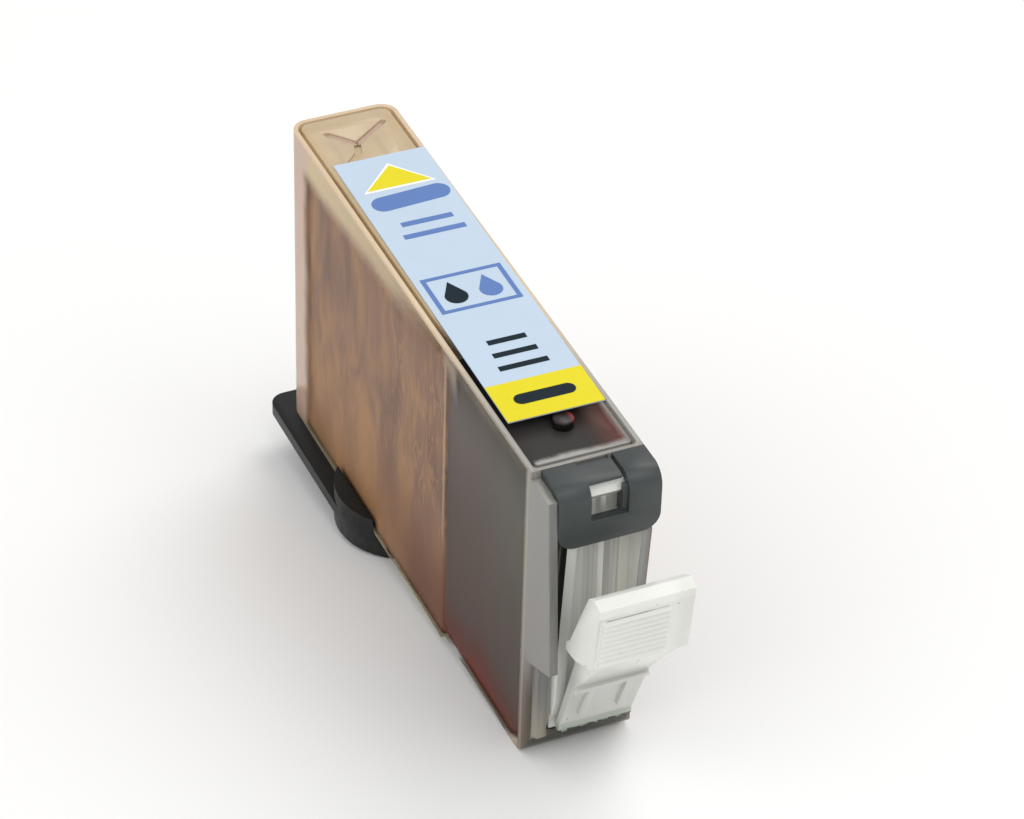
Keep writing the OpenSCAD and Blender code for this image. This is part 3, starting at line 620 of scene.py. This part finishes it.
def ink_material(s):
    """Deep ink that glows red-brown near the floor, where light gets through it."""
    m, mk, bsdf = new_material("deep_ink")
    v = mk.level()
    x, y, z = mk.axes(v)
    # The greyer tones up the ink, spread by the drift, are partly a painted haze of the wall's reflection
    # over the ink's own colour
    drift = mk.noise(mk.level(scale=(1, 1, 0.35)), 0.14, 3.0, 0.5, 0.6)
    depth = mk.math("ADD", z, mk.math("MULTIPLY", mk.math("SUBTRACT", drift, 0.5), 9.0))
    colour = mk.ramp(mk.math("DIVIDE", depth, 38.0), [
        (0.02, (0.16, 0.035, 0.022)), (0.09, (0.11, 0.036, 0.028)), (0.20, (0.088, 0.062, 0.054)),
        (0.50, tuple(s.ink_colour)), (0.80, (0.122, 0.110, 0.098)), (1.0, (0.085, 0.075, 0.066))])
    # Olive towards the front wall, redder brown towards the partition
    side = mk.mix(mk.between(y, 14.0, 4.0), (0.85, 0.76, 0.73), (0.80, 0.84, 0.78))
    colour = mk.mix(1.0, colour, side, "MULTIPLY")
    # Almost black behind the front wall: the dark ink with painted shade of the gaps between the rails and
    # the plate. Seen from the top it is a cool grey, partly a painted sheen, and redder at the right with
    # painted light through the ink
    colour = mk.mix(mk.between(y, FRONT_WALL + 0.01, FRONT_WALL - 0.02), colour, (0.012, 0.011, 0.010))
    glow = mk.math("MULTIPLY", mk.between(x, 1.5, 4.9), mk.between(y, 16.0, 8.0))
    over = mk.mix(mk.math("MULTIPLY", glow, 0.75), (0.045, 0.041, 0.041), (0.10, 0.045, 0.035))
    colour = mk.mix(mk.between(z, SEAT - 0.4, SEAT - 0.1), colour, over)
    wire(mk, bsdf, Base_Color=colour, Roughness=0.4, Specular_IOR_Level=0.08, Coat_Weight=0.06,
         Coat_Roughness=0.15)
    return m


def black_plastic(name, colour, roughness, gloss=0.5):
    """Dark moulded plastic with a fine grain and smears in its sheen."""
    m, mk, bsdf = new_material(name)
    v = mk.level()
    g = mk.group(handled_surface(), Vector=v, Roughness=roughness, Spread=0.08, Grain=4.5)
    tone = mk.mix(g.outputs["Mask"], [c * 0.85 for c in colour], [c * 1.15 for c in colour])
    wire(mk, bsdf, Base_Color=tone, Roughness=g.outputs["Roughness"], Specular_IOR_Level=gloss,
         Normal=mk.bump(g.outputs["Height"], 0.15, 0.00004))
    return m


def milky_plastic(s):
    """Milky translucent plastic: whiter in the grip, grey and faintly green at the root, a few specks."""
    m, mk, bsdf = new_material("milky_plastic")
    v = mk.level()
    x, y, z = mk.axes(v)
    g = mk.group(handled_surface(), Vector=v, Roughness=0.3, Spread=0.08, Grain=3.5)
    cloud = mk.noise(v, 0.35, 3.0, 0.5)
    tone = mk.mix(cloud, [c * 0.93 for c in s.lever_colour], tuple(s.lever_colour))
    tone = mk.mix(mk.math("MULTIPLY", mk.between(z, 18.0, 14.0), 0.8), tone, (0.55, 0.555, 0.52))
    tone = mk.mix(mk.math("MULTIPLY", mk.between(z, 6.6, 5.2), 0.85), tone, (0.34, 0.39, 0.32))
    tone = mk.mix(mk.math("MULTIPLY", mk.between(x, 3.4, 5.6), 0.4), tone, (0.62, 0.65, 0.57))
    # Painted shade, with some dust, in the grooves of the serrated face; up and out are measured along and
    # off the face
    lean = math.radians(FACE_LEAN)
    dy, dz = mk.math("SUBTRACT", y, FACE_LOW[0]), mk.math("SUBTRACT", z, FACE_LOW[1])
    up = mk.math("ADD", mk.math("MULTIPLY", dy, -math.sin(lean)), mk.math("MULTIPLY", dz, math.cos(lean)))
    out = mk.math("ADD", mk.math("MULTIPLY", dy, -math.cos(lean)), mk.math("MULTIPLY", dz, -math.sin(lean)))
    phase = mk.math("FRACT", mk.math("DIVIDE", mk.math("SUBTRACT", up, RIDGE_START), RIDGE_PITCH))
    groove = mk.math("MAXIMUM", mk.between(phase, 0.24, 0.1), mk.between(phase, 0.9, 0.98))
    field = mk.math("MULTIPLY", near(mk, up, 3.6, 3.6, 0.2), near(mk, out, 0.1, 0.35, 0.1))
    field = mk.math("MULTIPLY", field, near(mk, x, -0.2, 3.3, 0.35))
    patchy = mk.between(mk.noise(mk.level(scale=(0.5, 1, 1)), 0.9, 2.0, 0.5), 0.35, 0.6)
    # Patchy strength of the grooves' painted shade, partly dust
    shade_and_dust = mk.math("ADD", 0.5, mk.math("MULTIPLY", patchy, 0.5))
    groove = mk.math("MULTIPLY", mk.math("MULTIPLY", groove, field), shade_and_dust)
    tone = mk.mix(groove, tone, (0.30, 0.30, 0.29))
    speck = mk.between(mk.noise(v, 1.3, 2.0, 0.5), 0.735, 0.76)
    tone = mk.mix(mk.math("MULTIPLY", speck, 0.8), tone, (0.04, 0.04, 0.035))
    wire(mk, bsdf, Base_Color=tone, Roughness=g.outputs["Roughness"], Subsurface_Weight=0.3,
         Subsurface_Radius=(0.0012, 0.0012, 0.0011), Subsurface_Scale=1.0, Transmission_Weight=0.12, IOR=1.45,
         Normal=mk.bump(g.outputs["Height"], 0.12, 0.00005))
    return m


def printed(name, colour, gloss=0.2):
    """Printed film: an even colour with the faint mottle of the print and a satin coat."""
    m, mk, bsdf = new_material(name)
    v = mk.level()
    g = mk.group(handled_surface(), Vector=v, Roughness=0.3, Spread=0.06, Grain=6.0)
    tone = mk.mix(g.outputs["Mask"], [c * 0.96 for c in colour], [min(1.0, c * 1.03) for c in colour])
    wire(mk, bsdf, Base_Color=tone, Roughness=g.outputs["Roughness"], Specular_IOR_Level=gloss)
    return m


def plug_rubber():
    """Dark rubber with a red glint at its right, where light comes through the ink."""
    m, mk, bsdf = new_material("plug_rubber")
    x, y, z = mk.axes(mk.level())
    glint = mk.math("MULTIPLY", mk.between(x, 1.0, 2.0), mk.between(z, TANK_H - 0.9, TANK_H - 0.4))
    tone = mk.mix(glint, (0.022, 0.016, 0.017), (0.42, 0.045, 0.03))
    wire(mk, bsdf, Base_Color=tone, Roughness=0.3, Specular_IOR_Level=0.3)
    return m


def dark_seam_bead():
    """A rounded bead along the gap between the rim and the lid.

    Its courses are the gap's middle line, moved in by 0.19 cos(a) and lifted by 0.25 sin(a), a from 0 to pi.
    """
    m, mk, bsdf = new_material("dark_seam_bead")
    x, y, z = mk.axes(mk.level())
    # The bead stands in for the dark line seen along the gap: dark at the front, golden brown at the back
    tone = mk.mix(mk.between(y, 20.0, 30.0), (0.10, 0.085, 0.07), (0.33, 0.235, 0.10))
    wire(mk, bsdf, Base_Color=tone, Roughness=0.3)
    middle = RIM + SEAM / 2
    half_bead, foot, shoulder, rise = 0.19, SEAT + 0.02, SEAT + 0.55, 0.25

    def course(inset, height):
        """The gap's middle line moved in by inset, at a height."""
        plan = rounded_plan(HALF_W - middle - inset, LID_FRONT + middle + inset, TANK_L - middle - inset,
                            CORNER_R - inset)
        return np.column_stack((plan, np.full(len(plan), height)))

    rings = [course(half_bead, foot)]
    for a in np.linspace(0.0, math.pi, 9):
        rings.append(course(half_bead * math.cos(a), shoulder + rise * math.sin(a)))
    rings.append(course(-half_bead, foot))
    rings.append(rings[0])
    bead = skin("seam_bead", rings, closed_ends=False)
    settle(add_object("seam_bead", bead, m), "tank", "clear_tank")


def vent_ribbons():
    """Stained ribbons in the vent groove's two arms, 0.72 mm wide at the fork and 0.79 at the round tips."""
    m, mk, bsdf = new_material("vent_stain")
    tone = mk.mix(mk.noise(mk.level(), 1.4, 3.0, 0.6), (0.36, 0.24, 0.18), (0.50, 0.36, 0.26))
    wire(mk, bsdf, Base_Color=tone, Roughness=0.4)
    fork = np.array(FORK)
    for i, tip in enumerate(np.array(FORK_TIPS)):
        side = np.array((-tip[1], tip[0])) / np.hypot(*tip)
        rows = []
        for t in np.linspace(0.0, 1.0, 12):
            rounding = math.sqrt(max(0.0, 1 - max(0.0, (t - 0.92) / 0.085) ** 2))
            half = (0.72 + 0.07 * t) * rounding / 2
            rows.append([(*(fork + tip * t + side * half * k), TANK_H - 0.2) for k in (-1, -0.4, 0.4, 1)])
        ribbon = add_object("vent_ribbon_%d" % i, skin("vent_ribbon", rows, False, False), m)
        thick = ribbon.modifiers.new("thick", "SOLIDIFY")
        thick.thickness = 0.05 * MM
        settle(ribbon, "tank", "clear_lid")


def tank_zone(c, n):
    """Tank material by face centre: 0 walls, 1 rails and foot, 2 front of the front wall, 3 pale shelf."""
    x, y, z = c
    if y < -0.04:
        return 3 if z > SHELF_LOW and x > RAIL_RIGHT else 1
    rounded_foot = y < FOOT_R - 0.1 and z < FOOT_R - 0.1 and y + z < FOOT_R
    if abs(x) < HALF_W - 0.75 and (y < 0.02 or rounded_foot):
        return 2
    return 0


class CARTRIDGE_OT_tank(bpy.types.Operator):
    """Finish the clear tank, its lid, the dark bead along the seam, the vent channel and the filler plug"""

    bl_idname = "cartridge.tank"
    bl_label = "Clear tank and lid"

    def execute(self, context):
        s = context.scene.cartridge_finish
        finishes = (stained_skin(s), plastic_look("clear_rail", rail_look), front_skin(),
                    plastic_look("pale_shelf", shelf_look, 0.3))
        dressed("tank_case", "tank_shell", "tank", "clear_tank", 0.22, finishes, tank_zone)
        dressed("tank_lid", "lid_panel", "tank", "clear_lid", 0.12, (stained_lid(),))
        dressed("filler_plug", "plug_button", "tank", "plug", 0.2, (plug_rubber(),))
        dark_seam_bead()
        vent_ribbons()
        return {"FINISHED"}


class CARTRIDGE_OT_filling(bpy.types.Operator):
    """Finish the sponge, the ink and the outlet's wick and mesh"""

    bl_idname = "cartridge.filling"
    bl_label = "Sponge and ink"

    def execute(self, context):
        s = context.scene.cartridge_finish
        foam = foam_material(s)
        # The walls bend light, so the fillings seem to reach almost to their outer faces, and are drawn so
        press = 0.04
        half = HALF_W - 0.32
        sponge = filling("soaked_sponge", half, SPONGE_FRONT - 0.1, TANK_L - 0.5, 0.9, SPONGE_LOW - 1.0,
                         SPONGE_TOP, 0.18)
        settle(add_object("soaked_sponge", sponge, foam), "tank", "sponge", "main_sponge")
        ink = filling("ink_body", half, FRONT_WALL - press, SPONGE_FRONT - 0.2, 0.15, FLOOR - 1.0,
                      SEAT + press / 2, 0.0)
        settle(add_object("ink_body", ink, ink_material(s)), "tank", "ink", "free_ink")
        paint("outlet_wick", foam)
        paint("outlet_mesh", black_plastic("mesh_steel", (0.4, 0.4, 0.38), 0.4))
        return {"FINISHED"}


class CARTRIDGE_OT_label(bpy.types.Operator):
    """Finish the label's film and its printed fields"""

    bl_idname = "cartridge.label"
    bl_label = "Label"

    def execute(self, context):
        s = context.scene.cartridge_finish
        paint("label_film", printed("label_film", tuple(s.label_colour)))
        paint("label_yellow", printed("print_yellow", tuple(s.yellow_colour)))
        paint("label_white", printed("print_white", (0.86, 0.87, 0.84)))
        paint("label_blue", printed("print_blue", (0.105, 0.195, 0.46)))
        paint("label_dark", printed("print_dark", (0.008, 0.018, 0.025), gloss=0.08))
        return {"FINISHED"}


def plate_zone(c, n):
    """Latch plate material by face: 0 web, 1 sides of the flanges and the rib, 2 front ends."""
    x, y, z = c
    if y > -WEB_T - 0.02:
        return 0
    return 1 if abs(n.x) > 0.7 or abs(x - RIB_X) < 0.4 else 2


def root_flash():
    """Flash along the lever's root: a thin cord of crumbs from x = -3.25 to 4.95.

    Its centre (y, z) is ROOT + (0.1 sin 5x, 0.12 sin 3.1x) and its radius, round the cord's angle a, is
    0.3 + 0.16 sin(7.3 x + 2 a) sin(3.7 x + a), less towards both ends.
    """
    m, mk, bsdf = new_material("root_flash")
    tone = mk.mix(mk.noise(mk.level(), 2.2, 2.0, 0.6), (0.08, 0.13, 0.085), (0.46, 0.54, 0.43))
    wire(mk, bsdf, Base_Color=tone, Roughness=0.15)
    a = np.linspace(0.0, 2 * math.pi, 8)[:-1]
    rings = []
    for x in np.linspace(-3.25, 4.95, 90):
        end = min(1.0, (x + 3.3) * 3, (5.0 - x) * 3)
        radius = (0.3 + 0.16 * np.sin(7.3 * x + 2 * a) * np.sin(3.7 * x + a)) * max(end, 0.15)
        y = ROOT[0] + 0.1 * math.sin(5 * x) + radius * np.cos(a)
        z = ROOT[1] + 0.12 * math.sin(3.1 * x) + radius * np.sin(a)
        rings.append(np.stack((np.full(len(a), x), y, z), 1))
    settle(add_object("root_flash", skin("root_flash", rings, smooth=False), m), "lever", "milky_lever")


class CARTRIDGE_OT_latch(bpy.types.Operator):
    """Finish the latch plate and the milky lever"""

    bl_idname = "cartridge.latch"
    bl_label = "Latch"

    def execute(self, context):
        s = context.scene.cartridge_finish
        plate = [plastic_look(name, look) for name, look in
                 (("plate_web", web_look), ("flange_side", flange_look), ("flange_end", flange_end_look))]
        dressed("latch_plate", "latch_back", "tank", "clear_plate", 0.12, plate, plate_zone)
        dressed("latch_lever", "lever_moulding", "lever", "milky_lever", 0.1, (milky_plastic(s),))
        root_flash()
        return {"FINISHED"}


class CARTRIDGE_OT_caps(bpy.types.Operator):
    """Finish the black front cap, the shipping cap and its seal"""

    bl_idname = "cartridge.caps"
    bl_label = "Black caps"

    def execute(self, context):
        s = context.scene.cartridge_finish
        dressed("front_cap", "front_hood", "tank", "black_cap", 0.16,
                (black_plastic("front_black", tuple(s.cap_colour), 0.42),))
        dressed("transport_cap", "base_cup", "shipping_cap", "black_base", 0.25,
                (black_plastic("base_black", (0.0065, 0.007, 0.007), 0.45, 0.3),))
        paint("cap_seal", black_plastic("seal_rubber", (0.08, 0.08, 0.08), 0.6))
        return {"FINISHED"}


# Half the floor's side, in metres
FLOOR_REACH = 3.0


def pale_floor(scene):
    """A flat sheet far larger than the view, with a faint unevenness of tone."""
    mesh = bpy.data.meshes.new("floor")
    r = FLOOR_REACH
    mesh.from_pydata([(-r, -r, 0), (r, -r, 0), (r, r, 0), (-r, r, 0)], [], [(0, 1, 2, 3)])
    floor = bpy.data.objects.new("floor", mesh)
    scene.collection.objects.link(floor)
    m, mk, bsdf = new_material("pale_floor")
    c = mk.node("ShaderNodeTexCoord").outputs["Object"]
    tone = mk.mix(mk.noise(c, 3.0, 2.0, 0.5), (0.86, 0.86, 0.855), (0.88, 0.88, 0.875))
    wire(mk, bsdf, Base_Color=tone, Roughness=0.7, Specular_IOR_Level=0.15)
    mesh.materials.append(m)


# Lights: name, place and disc size in metres, power in watts and colour
LIGHTS = (
    ("key_light", (0.45, 0.25, 0.75), 0.6, 2.2, (1.0, 0.985, 0.96)),
    ("left_fill", (-0.75, -0.15, 0.55), 0.9, 1.6, (0.97, 0.985, 1.0)),
    ("front_fill", (0.15, -0.62, 0.78), 0.8, 2.6, (1.0, 1.0, 1.0)),
)
ROOM_LIGHT = 0.74


def soft_lights(scene):
    """A wide key from the right back, fills from the left and the front, and an even white room."""
    centre = Vector((0.0, 0.0, 0.02))
    for name, place, size, power, colour in LIGHTS:
        light = bpy.data.lights.new(name, "AREA")
        light.shape = "DISK"
        light.size = size
        light.energy = power
        light.color = colour
        o = bpy.data.objects.new(name, light)
        o.location = place
        o.rotation_euler = (centre - Vector(place)).to_track_quat("-Z", "Y").to_euler()
        scene.collection.objects.link(o)
    world = bpy.data.worlds.new("room")
    world.use_nodes = True
    background = world.node_tree.nodes["Background"]
    background.inputs["Color"].default_value = (1.0, 1.0, 1.0, 1.0)
    background.inputs["Strength"].default_value = ROOM_LIGHT
    scene.world = world
    scene.view_settings.view_transform = "Standard"


# Camera at the photo's angle, in the tank's level frame: place in mm, turns about x, y and z in degrees
CAMERA_PLACE = (-142.88, -292.91, 295.78)
CAMERA_TURNS = (52.4101, -1.3507, -23.5368)
# Focal length and picture width, both in pixels
CAMERA_FOCAL = 4100.276
IMAGE_W = 1024


def photo_camera(scene):
    """A pinhole camera, leaned and moved together with the tank."""
    cam = bpy.data.cameras.new("camera")
    cam.sensor_width = 36.0
    cam.lens = CAMERA_FOCAL * cam.sensor_width / IMAGE_W
    cam.clip_start, cam.clip_end = 0.01, 10.0
    o = bpy.data.objects.new("camera", cam)
    turn = Matrix.Rotation(REST_TILT, 3, "X") @ Euler([math.radians(a) for a in CAMERA_TURNS]).to_matrix()
    o.matrix_world = Matrix.Translation(at_rest([CAMERA_PLACE])[0]) @ turn.to_4x4()
    scene.collection.objects.link(o)
    scene.camera = o


class CARTRIDGE_OT_stage(bpy.types.Operator):
    """Make the pale floor, the soft lights and the camera"""

    bl_idname = "cartridge.stage"
    bl_label = "Floor, lights and camera"

    def execute(self, context):
        pale_floor(context.scene)
        soft_lights(context.scene)
        photo_camera(context.scene)
        return {"FINISHED"}


class CARTRIDGE_PT_panel(bpy.types.Panel):
    """Lists the finishing steps"""

    bl_label = "Ink cartridge"
    bl_idname = "CARTRIDGE_PT_panel"
    bl_space_type = "VIEW_3D"
    bl_region_type = "UI"
    bl_category = "Cartridge"

    def draw(self, context):
        col = self.layout.column()
        for op in STEPS:
            col.operator(op.bl_idname)
        for key in CartridgeFinish.__annotations__:
            col.prop(context.scene.cartridge_finish, key)


STEPS = (CARTRIDGE_OT_stage, CARTRIDGE_OT_tank, CARTRIDGE_OT_filling, CARTRIDGE_OT_label, CARTRIDGE_OT_latch,
         CARTRIDGE_OT_caps)
CLASSES = (CartridgeFinish, *STEPS, CARTRIDGE_PT_panel)


def register():
    for c in CLASSES:
        bpy.utils.register_class(c)
    bpy.types.Scene.cartridge_finish = PointerProperty(type=CartridgeFinish)


def unregister():
    del bpy.types.Scene.cartridge_finish
    for c in reversed(CLASSES):
        bpy.utils.unregister_class(c)


def main():
    register()
    for op in STEPS:
        group, name = op.bl_idname.split(".")
        getattr(getattr(bpy.ops, group), name)()


if __name__ == "__main__":
    main()
